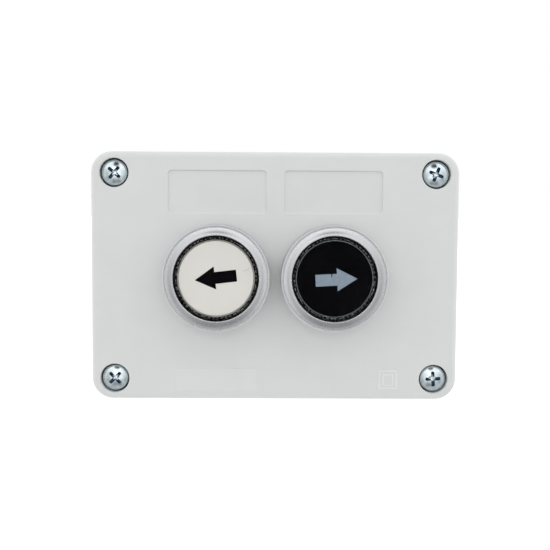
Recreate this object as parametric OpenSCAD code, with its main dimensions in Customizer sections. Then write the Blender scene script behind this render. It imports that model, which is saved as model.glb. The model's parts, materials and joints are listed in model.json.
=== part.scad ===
// Two-button control station for surface mounting: a moulded base and cover
// that carry a pair of 22 mm momentary pushbuttons, each working one normally
// open contact block. All sizes are in millimetres.
//
// The station stands as it hangs on a wall: +X to the right, +Z up, and its
// wall face in the plane Y = 0. The modules below draw it lying on its back,
// with x to the right, y up the front and z out of the wall, and upright()
// turns that onto the wall.

/* [Enclosure] */
// Overall width, at the parting line
box_w = 104; // [102:0.5:112]
// Overall height, at the parting line
box_h = 70.4; // [69:0.2:78]
// Depth of the base, from the wall face to the parting line
base_depth = 36; // [34:0.5:46]
// Depth of the cover, from the parting line to the front face
cover_depth = 18; // [17:0.5:22]
// Radius of the upright corners, at the parting line
corner_r = 6.2; // [5.8:0.1:7]
// Radius of the rounded edge round the front face
front_edge_r = 1.6; // [0.8:0.1:2]
// Thickness of the moulded walls
wall = 3; // [2.8:0.1:3.2]
// Taper of the cover's sides, in degrees
cover_draft = 0.8; // [0.4:0.1:1]
// Taper of the base's sides, in degrees
base_draft = 1; // [0.6:0.1:1.4]

/* [Cover screws] */
// Distance between the screws, across
screw_spacing_x = 90.4; // [90:0.1:91]
// Distance between the screws, up and down
screw_spacing_y = 58; // [57.6:0.1:58.4]
// Diameter of the hole that each screw head sits in
counterbore_d = 8.2; // [7.8:0.1:8.4]
// Diameter of the screw heads
screw_head_d = 7.2; // [6.8:0.1:7.4]
// Length of the screws under the head
screw_length = 30; // [26:1:32]

/* [Label recesses] */
// Width of each recess
label_w = 27.5; // [24:0.5:28.5]
// Height of each recess
label_h = 11.8; // [9:0.2:12]
// Height of the recesses' centre over the centre of the front
label_y = 23.8; // [22.5:0.1:24.5]
// Depth of each recess
label_depth = 0.5; // [0.4:0.1:0.8]

/* [Wall mounting] */
// Distance between the mounting holes, across
mount_spacing_x = 80; // [78:0.5:84]
// Distance between the mounting holes, up and down
mount_spacing_y = 36; // [35:0.5:37]
// Diameter of the mounting holes
mount_hole_d = 4.8; // [4.2:0.1:5.2]

/* [Cable entries] */
// Core diameter of the M20 thread
entry_d = 18.4; // [18:0.1:18.6]
// Diameter of the flat that the gland or plug seals on
entry_face_d = 26; // [25:0.5:27]

/* [Pushbuttons] */
// Distance between the two buttons
button_pitch = 32.6; // [32:0.1:34]
// Outer diameter of the bezel rings
bezel_d = 29.6; // [29:0.1:30]
// Height of the bezel rings over the cover
bezel_h = 8.5; // [8:0.1:9]
// Diameter of the lens caps
cap_d = 23; // [22.6:0.1:23.2]
// Distance that a button travels
travel = 4.3; // [3.8:0.1:4.6]

/* [Contact blocks] */
// Width of each contact block
block_w = 10; // [9:0.5:12]
// Gap that the moving contact closes
contact_gap = 2.6; // [2.2:0.1:2.8]

/* [Hidden] */
$fn = 72;
BUTTON_PARTS = [
    "bezel_ring", "lens_cap", "insert_disc", "button_carrier", "return_spring", "stem_seal",
    "operator_body", "panel_seal", "ring_nut", "contact_adapter", "contact_housing",
    "contact_plunger", "contact_bridge", "contact_spring", "plunger_spring",
    "fixed_contacts", "wire_clamps", "terminal_screws"
];
SIDES = ["left", "right"];

// How far a cutting shape runs past the surface that it cuts
past = 0.5;

// Enclosure
front_z = base_depth + cover_depth;
corner_x = box_w / 2 - corner_r;
corner_y = box_h / 2 - corner_r;
parting_step = 0.4;
base_rim_r = corner_r - parting_step;
base_foot_r = base_rim_r - base_depth * tan(base_draft);
cover_face_r = corner_r - cover_depth * tan(cover_draft);
back_edge_r = 1;
edge_break = 0.2;
label_corner_r = 1;

// Seal round the parting line
groove_in = 0.8;
groove_out = 2.2;
groove_depth = 1.6;
tongue_gap = 0.2;
tongue_h = 0.6;

// Cover screws, standing in the corners outside the seal
screw_x = screw_spacing_x / 2;
screw_y = screw_spacing_y / 2;
screw_r = 1.75;
screw_hole_r = 2.1;
pilot_r = 1.8;
pilot_depth = screw_length - 12;
column_r = 5.2;
head_h = 2.5;
head_sink = 0.4;
head_seat_z = front_z - head_sink - head_h;
seat_r = 3.2;
seat_groove_depth = 5;
cross_reach = 2.1;
cross_half_w = 0.4;
cross_depth = 1.5;
// The turn that each screw head was left at, from the lower left one round clockwise
head_turns = [45, 50, 68, 3];

// Cable entries, in the middle of the side walls
entry_z = base_depth / 2;
entry_face_x = box_w / 2 - 2.6;
entry_thread_l = 7.4;
entry_boss_r = entry_d / 2 + 3.2;
entry_backing_t = 2;
entry_cut_h = 4;
plug_flange_r = 12;
plug_flange_t = 1.7;
plug_seal_t = 0.8;

// Wall mounting
pad_r = 5;
pad_h = 1.5;

// Pushbuttons, with z counted from the front of the cover
panel_t = wall;
panel_hole_r = 11.15;
notch_half_w = 1.6;
notch_h = 0.9;
collar_r = 11;
bore_r = 9.5;
opening_r = cap_d / 2 + 0.3;
bezel_r = bezel_d / 2;
seal_t = 0.6;
flange_t = 0.8;
flange_r = 13.75;
flange_top = seal_t + flange_t;
carrier_disc_t = 0.8;
carrier_disc_r = cap_d / 2 - 1.3;
carrier_disc_z = flange_top + travel + 0.3;
insert_t = 0.7;
insert_z = carrier_disc_z + carrier_disc_t;
lens_under_z = insert_z + insert_t;
cap_face_z = bezel_h - 0.1;
skirt_r = bore_r - 0.05;
skirt_end = -9;
web_top = skirt_end - travel - 0.7;
web_t = 1.5;
stem_r = 3.2;
stem_end = web_top - 4;
collar_end = -22;
tail_r = 10.3;
tail_top = -17;
lug_top = -18;
lug_h = 1.5;
nut_t = 5.5;
adapter_ring_r = 13.4;
adapter_ring_top = -12;
adapter_plate_t = 2;

// Contact blocks, with z counted from the face that meets the adapter
block_z = collar_end - adapter_plate_t;
block_h = 22;
block_l = 30;
shell_t = 1.5;
chamber_half_x = block_w / 2 - 1.6;
chamber_half_y = 8.6;
plunger_top = stem_end - 0.1 - block_z;
plunger_stem_r = 2.4;
cage_top = -2.2;
cage_half_x = 2.6;
cage_half_y = 3.2;
window_half_x = 1.8;
window_top = cage_top - 1.2;
window_end = window_top - 5.2;
cage_end = window_end - 1.2;
pin_r = 1.2;
pin_end = cage_end - 4.7;
bridge_z = window_end + 0.1;
bridge_t = 0.6;
rivet_r = 1.1;
rivet_h = 0.5;
rivet_y = 5.8;
fixed_rivet_top = bridge_z - rivet_h - contact_gap - 0.05;
fixed_rivet_h = 0.45;
strip_t = 0.8;
strip_top = fixed_rivet_top - fixed_rivet_h;
strip_half_x = 2.2;
terminal_y = 12.4;
terminal_screw_r = 1.5;
clamp_t = 0.8;
clamp_top = strip_top - strip_t - 0.9;
hook_half_x = 3;
hook_z = -4.3;
hook_h = 1.2;

// Turns the drawing plane onto the wall
module upright() rotate([90, 0, 0]) children();

// Places a button's parts, with z counted from the front of the cover
module at_button(i) upright() translate([(i - 0.5) * button_pitch, 0, front_z]) children();

// Places a contact block's parts, with z counted from its front
module at_block(i) at_button(i) translate([0, 0, block_z]) children();

// A round tube or washer between two heights
module tube(outer_r, inner_r, low, high) {
    rotate_extrude() translate([inner_r, low]) square([outer_r - inner_r, high - low]);
}

// A rectangle with round corners, centred
module round_rect(w, h, r) {
    square([w - 2 * r, h], center = true);
    square([w, h - 2 * r], center = true);
    for (x = [-1, 1], y = [-1, 1]) translate([x * (w / 2 - r), y * (h / 2 - r)]) circle(r);
}

// Half section of a tapered wall with a rounded edge: x outwards, y up
module edge_section(foot_r, crown_r, height, edge_r) {
    shoulder = height - edge_r;
    polygon([
        [0, 0], [foot_r, 0], [crown_r, shoulder], [crown_r - edge_r, shoulder],
        [crown_r - edge_r, height], [0, height]
    ]);
    translate([crown_r - edge_r, shoulder]) circle(edge_r);
}

// The whole section of a tapered block, whose corners turn about +reach and -reach
module block_section(reach, foot_r, crown_r, height, edge_r) {
    translate([-reach, 0]) square([2 * reach, height]);
    for (side = [0, 1]) mirror([side, 0]) translate([reach, 0]) edge_section(foot_r, crown_r, height, edge_r);
}

// A solid block with tapered sides, round upright corners and one rounded edge all round
module tapered_block(foot_r, crown_r, height, edge_r) {
    rotate([90, 0, 0]) linear_extrude(2 * corner_y, center = true)
        block_section(corner_x, foot_r, crown_r, height, edge_r);
    rotate([90, 0, 90]) linear_extrude(2 * corner_x, center = true)
        block_section(corner_y, foot_r, crown_r, height, edge_r);
    for (x = [-corner_x, corner_x], y = [-corner_y, corner_y]) translate([x, y, 0])
        rotate_extrude() edge_section(foot_r, crown_r, height, edge_r);
}

// A block with round corners whose sides lean outwards at 45 degrees, all on z = 0
module flared_block(w, h, r, height) {
    rotate([90, 0, 0]) linear_extrude(h - 2 * r, center = true)
        polygon([[-w / 2, 0], [w / 2, 0], [w / 2 + height, height], [-w / 2 - height, height]]);
    rotate([90, 0, 90]) linear_extrude(w - 2 * r, center = true)
        polygon([[-h / 2, 0], [h / 2, 0], [h / 2 + height, height], [-h / 2 - height, height]]);
    for (x = [-1, 1], y = [-1, 1]) translate([x * (w / 2 - r), y * (h / 2 - r), 0])
        cylinder(h = height, r1 = r, r2 = r + height);
}

// Outline of the inside: a cross, because the screw columns stand in its corners.
// grow moves the whole outline outwards.
module inner_outline(grow) {
    half_w = box_w / 2 - wall + grow;
    half_h = box_h / 2 - wall + grow;
    column = column_r - grow;
    difference() {
        square([2 * half_w, 2 * half_h], center = true);
        for (x = [0, 1], y = [0, 1]) mirror([x, 0]) mirror([0, y]) {
            translate([screw_x, screw_y]) circle(column);
            translate([screw_x - column, screw_y]) square(2 * column_r + 4);
            translate([screw_x, screw_y - column]) square(2 * column_r + 4);
        }
    }
}

// A band that follows the inside outline, between two distances outwards from it
module seal_band(inner, outer, height) {
    linear_extrude(height) difference() {
        inner_outline(outer);
        inner_outline(inner);
    }
}

module at_screws() {
    for (x = [-1, 1], y = [-1, 1]) translate([x * screw_x, y * screw_y, 0]) children();
}

module at_mounts() {
    for (x = [-1, 1], y = [-1, 1])
        translate([x * mount_spacing_x / 2, y * mount_spacing_y / 2, 0]) children();
}

// Lays a shape that is drawn along z on the axis of a cable entry, pointing out of the box
module at_entry(side) translate([side * entry_face_x, 0, entry_z]) rotate([0, side * 90, 0]) children();

// A coil of round wire with a closed turn at each end, standing on z = 0
module coil_spring(mean_r, wire_r, length, turns, sides = 8, steps = 16) {
    rings = turns * steps;
    closed_rise = 2.1 * wire_r;
    open_rise = (length - 2 * wire_r - 2 * closed_rise) / (turns - 2);
    function climb(t) = t < 1 ? t * closed_rise
        : t < turns - 1 ? closed_rise + (t - 1) * open_rise
        : closed_rise + (turns - 2) * open_rise + (t - turns + 1) * closed_rise;
    points = [
        for (i = [0 : rings], k = [0 : sides - 1])
            let (
                around = 360 * i / steps,
                section = 360 * k / sides,
                r = mean_r + wire_r * cos(section)
            )
            [r * cos(around), r * sin(around), wire_r + climb(i / steps) + wire_r * sin(section)]
    ];
    skin = [
        for (i = [0 : rings - 1], k = [0 : sides - 1])
            let (a = i * sides + k, b = i * sides + (k + 1) % sides)
            for (face = [[a, b, b + sides], [a, b + sides, a + sides]]) face
    ];
    first_end = [for (k = [sides - 1 : -1 : 0]) k];
    last_end = [for (k = [0 : sides - 1]) rings * sides + k];
    polyhedron(points, concat(skin, [first_end, last_end]));
}

// Base: tapered shell with four screw columns, wall holes on pads and two threaded entries
module base_box() {
    color("gainsboro") upright() difference() {
        union() {
            difference() {
                translate([0, 0, base_depth]) mirror([0, 0, 1])
                    tapered_block(base_rim_r, base_foot_r, base_depth, back_edge_r);
                translate([0, 0, wall]) linear_extrude(base_depth) inner_outline(0);
            }
            translate([0, 0, base_depth])
                seal_band(groove_in + tongue_gap, groove_out - tongue_gap, tongue_h);
            at_mounts() translate([0, 0, wall]) cylinder(h = pad_h, r = pad_r);
            for (side = [-1, 1]) at_entry(side) {
                translate([0, 0, -entry_thread_l]) cylinder(h = entry_thread_l, r = entry_boss_r);
                translate([0, 0, -entry_backing_t]) cylinder(h = entry_backing_t, d = entry_face_d + 3);
            }
        }
        at_screws() translate([0, 0, base_depth - pilot_depth]) cylinder(h = pilot_depth + past, r = pilot_r);
        at_mounts() translate([0, 0, -past]) cylinder(h = wall + pad_h + 2 * past, d = mount_hole_d);
        for (side = [-1, 1]) at_entry(side) {
            cylinder(h = entry_cut_h, d = entry_face_d);
            translate([0, 0, -entry_thread_l - past]) cylinder(h = entry_thread_l + entry_cut_h, d = entry_d);
        }
    }
}

// Cover: tapered shell with counterbored corners, two notched 22 mm holes and two label recesses
module front_cover() {
    color("lightgray") upright() difference() {
        translate([0, 0, base_depth])
            tapered_block(corner_r, cover_face_r, cover_depth, front_edge_r);
        translate([0, 0, base_depth - past]) linear_extrude(cover_depth - wall + past) inner_outline(0);
        translate([0, 0, base_depth - past]) seal_band(groove_in, groove_out, groove_depth + past);
        at_screws() {
            translate([0, 0, base_depth - past]) cylinder(h = cover_depth + 2 * past, r = screw_hole_r);
            screw_well();
        }
        for (side = [-0.5, 0.5]) translate([side * button_pitch, 0, 0]) {
            translate([0, 0, front_z - wall - past]) cylinder(h = wall + 2 * past, r = panel_hole_r);
            translate([-notch_half_w, 0, front_z - wall - past])
                cube([2 * notch_half_w, panel_hole_r + notch_h, wall + 2 * past]);
            translate([0, label_y, 0]) label_recess();
        }
    }
}

// The space that a screw head sits in, with a bevelled mouth and a groove round the seat
module screw_well() {
    well_r = counterbore_d / 2;
    groove_z = head_seat_z - seat_groove_depth;
    rotate_extrude() polygon([
        [0, head_seat_z], [seat_r, head_seat_z], [seat_r, groove_z], [well_r, groove_z],
        [well_r, front_z - edge_break], [well_r + edge_break + past, front_z + past], [0, front_z + past]
    ]);
}

// A shallow recess for a label, with a bevel round its mouth
module label_recess() {
    bevel_start = 1.5 * edge_break;
    foot_w = label_w - edge_break;
    foot_h = label_h - edge_break;
    foot_r = label_corner_r - edge_break / 2;
    translate([0, 0, front_z - label_depth]) linear_extrude(label_depth + past)
        round_rect(label_w, label_h, label_corner_r);
    translate([0, 0, front_z - bevel_start]) flared_block(foot_w, foot_h, foot_r, bevel_start + past);
}

// Seal strip in the cover's groove, on the base's tongue
module cover_gasket() {
    color("dimgray") upright() translate([0, 0, base_depth + tongue_h])
        seal_band(groove_in, groove_out, groove_depth - tongue_h);
}

// Pan-head screws with a cross recess, each left at its own turn
module cover_screws() {
    color("silver") upright() for (i = [0 : 3]) {
        x = i < 2 ? -1 : 1;
        y = i == 1 || i == 2 ? 1 : -1;
        translate([x * screw_x, y * screw_y, head_seat_z]) rotate([0, 0, head_turns[i]]) {
            translate([0, 0, -screw_length]) cylinder(h = screw_length, r = screw_r);
            difference() {
                pan_head(screw_head_d / 2, head_h);
                for (turn = [0, 90]) rotate([0, 0, turn])
                    translate([-cross_reach, -cross_half_w, head_h - cross_depth])
                        cube([2 * cross_reach, 2 * cross_half_w, cross_depth + past]);
            }
        }
    }
}

// A screw head: a short straight side under a dome
module pan_head(r, h) {
    side_h = 0.55 * h;
    rise = h - side_h;
    dome_r = (r * r + rise * rise) / (2 * rise);
    intersection() {
        cylinder(h = h, r = r);
        translate([0, 0, h - dome_r]) sphere(dome_r);
    }
}

// Hollow M20 plug with a slot for a coin, closing the left entry
module blanking_plug() {
    tube_wall = 2;
    slot_l = 14;
    slot_w = 2.4;
    slot_floor = plug_seal_t + 0.5;
    color("gainsboro") upright() at_entry(-1) difference() {
        union() {
            translate([0, 0, plug_seal_t]) cylinder(h = plug_flange_t, r = plug_flange_r);
            translate([0, 0, -entry_thread_l])
                cylinder(h = entry_thread_l + plug_seal_t, r = entry_d / 2 - 0.05);
        }
        translate([0, 0, -entry_thread_l - past]) cylinder(h = entry_thread_l, r = entry_d / 2 - tube_wall);
        translate([-slot_l / 2, -slot_w / 2, slot_floor]) cube([slot_l, slot_w, plug_flange_t]);
    }
}

// Flat washer under the plug's flange
module plug_seal() {
    color("dimgray") upright() at_entry(-1) tube(plug_flange_r - 0.6, entry_d / 2 + 0.1, 0, plug_seal_t);
}

// Bezel: hollow ring with a rounded rim, a fine groove, a raised cone and a bevelled lip
module bezel_ring() {
    rim_r = 0.35;
    rim_top = bezel_h - 0.4;
    groove_r = bezel_r - 0.7;
    groove_w = 0.25;
    cone_top_r = opening_r + 0.5;
    color("silver") rotate_extrude() {
        polygon([
            [flange_r + 0.05, 0], [bezel_r, 0], [bezel_r, rim_top - rim_r],
            [bezel_r - rim_r, rim_top - rim_r], [bezel_r - rim_r, rim_top],
            [groove_r + groove_w, rim_top], [groove_r + groove_w, rim_top - groove_w],
            [groove_r, rim_top - groove_w], [groove_r, rim_top], [cone_top_r, bezel_h],
            [opening_r + 0.35, bezel_h], [opening_r, rim_top - 0.1], [opening_r, flange_top],
            [opening_r + 0.8, flange_top], [opening_r + 0.8, rim_top - 1.5], [flange_r + 0.05, rim_top - 1.5]
        ]);
        translate([bezel_r - rim_r, rim_top - rim_r]) circle(rim_r, $fn = 32);
    }
}

// Clear cap: a flat top with a rounded edge and a skirt that holds the insert
module lens_cap() {
    r = cap_d / 2;
    edge_r = 0.4;
    color("white", 0.35) rotate_extrude() {
        polygon([
            [0, lens_under_z], [carrier_disc_r + 0.05, lens_under_z], [carrier_disc_r + 0.05, carrier_disc_z],
            [r, carrier_disc_z], [r, cap_face_z - edge_r], [r - edge_r, cap_face_z - edge_r],
            [r - edge_r, cap_face_z], [0, cap_face_z]
        ]);
        translate([r - edge_r, cap_face_z - edge_r]) circle(edge_r, $fn = 32);
    }
}

// Coloured disc under the lens
module insert_disc(shade) {
    color(shade) translate([0, 0, insert_z]) cylinder(h = insert_t, r = carrier_disc_r);
}

// Carrier: a disc, a guiding skirt, and a stem whose split end snaps in under the web
module button_carrier() {
    skirt_t = 1.05;
    barb_r = stem_r + 1;
    barb_h = 1.4;
    barb_z = web_top - web_t - 0.1 - barb_h;
    split_w = 0.9;
    split_h = 8;
    window_w = 3;
    window_h = 4;
    color("dimgray") difference() {
        union() {
            translate([0, 0, carrier_disc_z]) cylinder(h = carrier_disc_t, r = carrier_disc_r);
            tube(skirt_r, skirt_r - skirt_t, skirt_end, carrier_disc_z);
            translate([0, 0, stem_end]) cylinder(h = carrier_disc_z - stem_end, r = stem_r);
            translate([0, 0, barb_z]) cylinder(h = barb_h, r = barb_r);
            translate([0, 0, stem_end]) cylinder(h = barb_z - stem_end, r1 = stem_r, r2 = barb_r);
        }
        translate([-barb_r - past, -split_w / 2, stem_end - past])
            cube([2 * barb_r + 2 * past, split_w, split_h]);
        for (turn = [45 : 90 : 315]) rotate([0, 0, turn])
            translate([skirt_r - 2 * skirt_t, -window_w / 2, skirt_end - past])
                cube([window_w, window_w, window_h]);
    }
}

// Spring round the stem, from the web up to the disc
module return_spring() {
    color("silver") translate([0, 0, web_top]) coil_spring(6.4, 0.45, carrier_disc_z - web_top, 8);
}

// Lip ring in the mouth of the collar, round the carrier's skirt
module stem_seal() {
    lip = 0.35;
    color("dimgray") rotate_extrude() polygon([
        [bore_r, 0], [bore_r + 0.9, -0.6], [bore_r + 0.9, flange_top - 0.2],
        [bore_r + lip, flange_top - 0.2], [bore_r, flange_top - 0.7]
    ]);
}

// Operator body: flanged collar with a locating nib, a web under the spring and a bayonet tail
module operator_body() {
    seal_r = bore_r + 0.9;
    nib_w = 2.8;
    nib_h = panel_t - 0.1;
    lug_w = 4;
    drain_r = 1;
    color("dimgray") difference() {
        union() {
            rotate_extrude() polygon([
                [stem_r + 0.1, web_top], [bore_r, web_top], [bore_r, -0.6], [seal_r, -0.6],
                [seal_r, flange_top], [flange_r, flange_top], [flange_r, seal_t],
                [collar_r, seal_t], [collar_r, tail_top],
                [tail_r, tail_top], [tail_r, collar_end], [bore_r, collar_end], [bore_r, web_top - web_t],
                [stem_r + 0.1, web_top - web_t]
            ]);
            translate([-nib_w / 2, collar_r - 0.4, -nib_h]) cube([nib_w, 1.2, nib_h]);
            for (turn = [0, 180]) rotate([0, 0, turn]) intersection() {
                translate([tail_r - 0.5, -lug_w / 2, lug_top - lug_h]) cube([2, lug_w, lug_h]);
                tube(collar_r, tail_r - 0.3, lug_top - lug_h, lug_top);
            }
        }
        for (turn = [30 : 60 : 330]) rotate([0, 0, turn])
            translate([stem_r + 3, 0, web_top - web_t - past]) cylinder(h = web_t + 2 * past, r = drain_r);
    }
}

// Flat washer between the flange and the cover
module panel_seal() {
    color("dimgray") tube(flange_r - 0.05, collar_r + 0.2, 0, seal_t);
}

// Fixing nut behind the cover, with grip notches round it
module ring_nut() {
    nut_r = 14.6;
    lead = 0.6;
    washer_r = 15.2;
    washer_t = 1.2;
    grip_r = 1.6;
    color("dimgray") translate([0, 0, -panel_t - nut_t]) difference() {
        rotate_extrude() polygon([
            [collar_r + 0.05, 0], [nut_r - lead, 0], [nut_r, lead], [nut_r, nut_t - washer_t],
            [washer_r, nut_t - washer_t], [washer_r, nut_t], [collar_r + 0.05, nut_t]
        ]);
        for (turn = [22.5 : 45 : 337.5]) rotate([0, 0, turn]) translate([washer_r, 0, -past])
            cylinder(h = nut_t + 2 * past, r = grip_r);
    }
}

// Adapter: a bayonet ring over the collar's tail, on a plate with two hooks for the contact block
module contact_adapter() {
    loose_r = collar_r + 0.1;
    snug_r = tail_r + 0.1;
    groove_top = lug_top + 0.2;
    groove_end = lug_top - lug_h - 0.2;
    channel_end = groove_top - 0.6;
    channel_w = 4.4;
    arm_half_w = 6;
    arm_start = adapter_ring_r - 2;
    arm_end = block_l / 2 + 1.7;
    hook_t = 1.6;
    barb = 0.8;
    color("gray") {
        difference() {
            rotate_extrude() polygon([
                [loose_r, adapter_ring_top], [adapter_ring_r, adapter_ring_top], [adapter_ring_r, block_z],
                [stem_r + 2, block_z], [stem_r + 2, collar_end], [snug_r, collar_end], [snug_r, groove_end],
                [loose_r, groove_end], [loose_r, groove_top], [snug_r, groove_top], [snug_r, tail_top],
                [loose_r, tail_top]
            ]);
            for (turn = [60, 240]) rotate([0, 0, turn]) intersection() {
                translate([0, -channel_w / 2, channel_end])
                    cube([loose_r + 2, channel_w, adapter_ring_top + past - channel_end]);
                tube(loose_r + 0.3, snug_r - past, channel_end, adapter_ring_top + past);
            }
        }
        for (side = [0, 1]) mirror([0, side, 0]) {
            translate([-arm_half_w, arm_start, block_z])
                cube([2 * arm_half_w, arm_end - arm_start, adapter_plate_t]);
            translate([-hook_half_x, arm_end - hook_t, block_z + hook_z - hook_h]) {
                cube([2 * hook_half_x, hook_t, hook_h - hook_z + past]);
                translate([0, -barb, 0]) cube([2 * hook_half_x, barb + past, hook_h]);
            }
        }
    }
}

// Contact block shell: a closed chamber between two terminal pockets
module contact_housing() {
    edge_r = 0.8;
    pocket_y = chamber_half_y + 1.2;
    strip_slot_l = 3;
    driver_hole_h = 3;
    hook_slot_y = block_l / 2 - 0.9;
    color("black") difference() {
        translate([0, 0, -block_h]) linear_extrude(block_h) round_rect(block_w, block_l, edge_r);
        translate([-chamber_half_x, -chamber_half_y, shell_t - block_h])
            cube([2 * chamber_half_x, 2 * chamber_half_y, block_h - 2 * shell_t]);
        translate([0, 0, -shell_t - past]) cylinder(h = shell_t + 2 * past, r = plunger_stem_r + 0.1);
        for (side = [0, 1]) mirror([0, side, 0]) {
            translate([-strip_half_x, chamber_half_y - past, strip_top - strip_t])
                cube([2 * strip_half_x, strip_slot_l, strip_t]);
            translate([-chamber_half_x, pocket_y, -block_h - past])
                cube([2 * chamber_half_x, block_l / 2, block_h + past + strip_top]);
            translate([0, terminal_y, strip_top - past])
                cylinder(h = driver_hole_h + past, r = terminal_screw_r + 0.1);
            translate([-hook_half_x - 0.3, hook_slot_y, hook_z - hook_h - 0.1])
                cube([2 * hook_half_x + 0.6, 2, hook_h + 0.2]);
        }
    }
}

// Plunger: a stem on a cage whose window carries the bridge, with a pin for its own spring
module contact_plunger() {
    color("seagreen") {
        translate([0, 0, cage_top - past]) cylinder(h = plunger_top - cage_top + past, r = plunger_stem_r);
        difference() {
            translate([-cage_half_x, -cage_half_y, cage_end])
                cube([2 * cage_half_x, 2 * cage_half_y, cage_top - cage_end]);
            translate([-window_half_x, -cage_half_y - past, window_end])
                cube([2 * window_half_x, 2 * cage_half_y + 2 * past, window_top - window_end]);
        }
        translate([0, 0, pin_end]) cylinder(h = cage_end - pin_end + past, r = pin_r);
    }
}

// Bridge: a strip with a contact rivet at each end
module contact_bridge() {
    color("goldenrod") {
        translate([-1.45, -rivet_y - 1.4, bridge_z]) cube([2.9, 2 * rivet_y + 2.8, bridge_t]);
        for (side = [-1, 1]) translate([0, side * rivet_y, bridge_z - rivet_h])
            cylinder(h = rivet_h + 0.2, r = rivet_r);
    }
}

// Spring that presses the bridge down inside the cage
module contact_spring() {
    color("silver") translate([0, 0, bridge_z + bridge_t])
        coil_spring(1.1, 0.17, window_top - bridge_z - bridge_t, 5, 6, 12);
}

// Spring that lifts the plunger from the floor of the chamber
module plunger_spring() {
    color("silver") translate([0, 0, shell_t - block_h])
        coil_spring(1.9, 0.25, cage_end - shell_t + block_h, 8, 6, 12);
}

// Fixed contacts: a strip from each terminal to a rivet under the bridge
module fixed_contacts() {
    color("goldenrod") for (side = [0, 1]) mirror([0, side, 0]) {
        difference() {
            translate([-strip_half_x, cage_half_y + 1, strip_top - strip_t])
                cube([2 * strip_half_x, block_l / 2 - cage_half_y - 1.4, strip_t]);
            translate([0, terminal_y, strip_top - strip_t - past])
                cylinder(h = strip_t + 2 * past, r = terminal_screw_r + 0.02);
        }
        translate([0, rivet_y, strip_top - 0.2]) cylinder(h = fixed_rivet_h + 0.2, r = rivet_r + 0.1);
    }
}

// Clamp plates that press the wires against the strips
module wire_clamps() {
    color("silver") for (side = [0, 1]) mirror([0, side, 0]) difference() {
        translate([-chamber_half_x + 0.3, terminal_y - 2.2, clamp_top - clamp_t])
            cube([2 * chamber_half_x - 0.6, 4.4, clamp_t]);
        translate([0, terminal_y, clamp_top - clamp_t - past])
            cylinder(h = clamp_t + 2 * past, r = terminal_screw_r + 0.05);
    }
}

// Slotted screws, reached from the back of the block
module terminal_screws() {
    pan_r = 2.6;
    pan_h = 1.9;
    slot_w = 0.7;
    slot_depth = 1;
    screw_end = strip_top + 2.6;
    color("silver") for (side = [-1, 1]) translate([0, side * terminal_y, clamp_top - clamp_t]) {
        cylinder(h = screw_end - clamp_top + clamp_t, r = terminal_screw_r);
        mirror([0, 0, 1]) difference() {
            pan_head(pan_r, pan_h);
            translate([-pan_r - past, -slot_w / 2, pan_h - slot_depth])
                cube([2 * pan_r + 2 * past, slot_w, slot_depth + past]);
        }
    }
}

base_box();
front_cover();
cover_gasket();
cover_screws();
blanking_plug();
plug_seal();
for (i = [0, 1]) {
    side = SIDES[i];
    at_button(i) bezel_ring();
    at_button(i) lens_cap();
    at_button(i) insert_disc(["white", "black"][i]);
    at_button(i) button_carrier();
    at_button(i) return_spring();
    at_button(i) stem_seal();
    at_button(i) operator_body();
    at_button(i) panel_seal();
    at_button(i) ring_nut();
    at_button(i) contact_adapter();
    at_block(i) contact_housing();
    at_block(i) contact_plunger();
    at_block(i) contact_bridge();
    at_block(i) contact_spring();
    at_block(i) plunger_spring();
    at_block(i) fixed_contacts();
    at_block(i) wire_clamps();
    at_block(i) terminal_screws();
}
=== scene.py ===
"""Finishes and fine parts for a surface-mounted control station with two pushbuttons.

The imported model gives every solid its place. This script gives the moulded, metal, rubber and printed
parts their finish, and puts finer meshes in the place of the bezels, the lens caps and their inserts,
the cover screws and the springs.
"""

import json
import math
import random

import bmesh
import bpy
from bpy.props import FloatProperty, FloatVectorProperty, IntProperty, PointerProperty
from mathutils import Matrix, Vector


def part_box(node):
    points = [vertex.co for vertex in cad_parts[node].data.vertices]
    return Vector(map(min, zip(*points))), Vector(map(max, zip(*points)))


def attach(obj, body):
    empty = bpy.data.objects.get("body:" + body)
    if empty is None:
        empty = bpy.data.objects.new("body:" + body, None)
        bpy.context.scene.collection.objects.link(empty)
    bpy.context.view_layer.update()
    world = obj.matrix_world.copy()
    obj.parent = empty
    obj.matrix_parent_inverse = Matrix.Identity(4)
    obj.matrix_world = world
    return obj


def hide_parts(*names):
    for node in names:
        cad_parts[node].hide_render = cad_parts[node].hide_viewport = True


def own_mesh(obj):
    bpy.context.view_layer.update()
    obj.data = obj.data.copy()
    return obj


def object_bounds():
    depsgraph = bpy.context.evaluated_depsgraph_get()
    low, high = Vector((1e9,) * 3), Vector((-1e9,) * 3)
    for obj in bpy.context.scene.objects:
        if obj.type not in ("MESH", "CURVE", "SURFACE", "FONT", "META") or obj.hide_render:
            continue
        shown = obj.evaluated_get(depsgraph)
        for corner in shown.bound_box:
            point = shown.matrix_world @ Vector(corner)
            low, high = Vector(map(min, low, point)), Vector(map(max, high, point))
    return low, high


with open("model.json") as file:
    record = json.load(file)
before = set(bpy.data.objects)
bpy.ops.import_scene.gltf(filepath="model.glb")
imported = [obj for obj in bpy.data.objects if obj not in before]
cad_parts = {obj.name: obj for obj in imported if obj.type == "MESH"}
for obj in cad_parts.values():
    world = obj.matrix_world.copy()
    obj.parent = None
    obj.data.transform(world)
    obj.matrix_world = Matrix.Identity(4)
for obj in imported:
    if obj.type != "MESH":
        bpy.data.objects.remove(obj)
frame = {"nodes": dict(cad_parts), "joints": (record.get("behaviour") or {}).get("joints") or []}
CAD_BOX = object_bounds()

bl_info = {
    "name": "Two-Button Control Station",
    "version": (1, 0, 0),
    "blender": (4, 5, 0),
    "location": "3D View > Sidebar > Station",
    "description": "Finishes and fine parts for a surface-mounted control station",
    "category": "Object",
}

MM = 0.001
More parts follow.
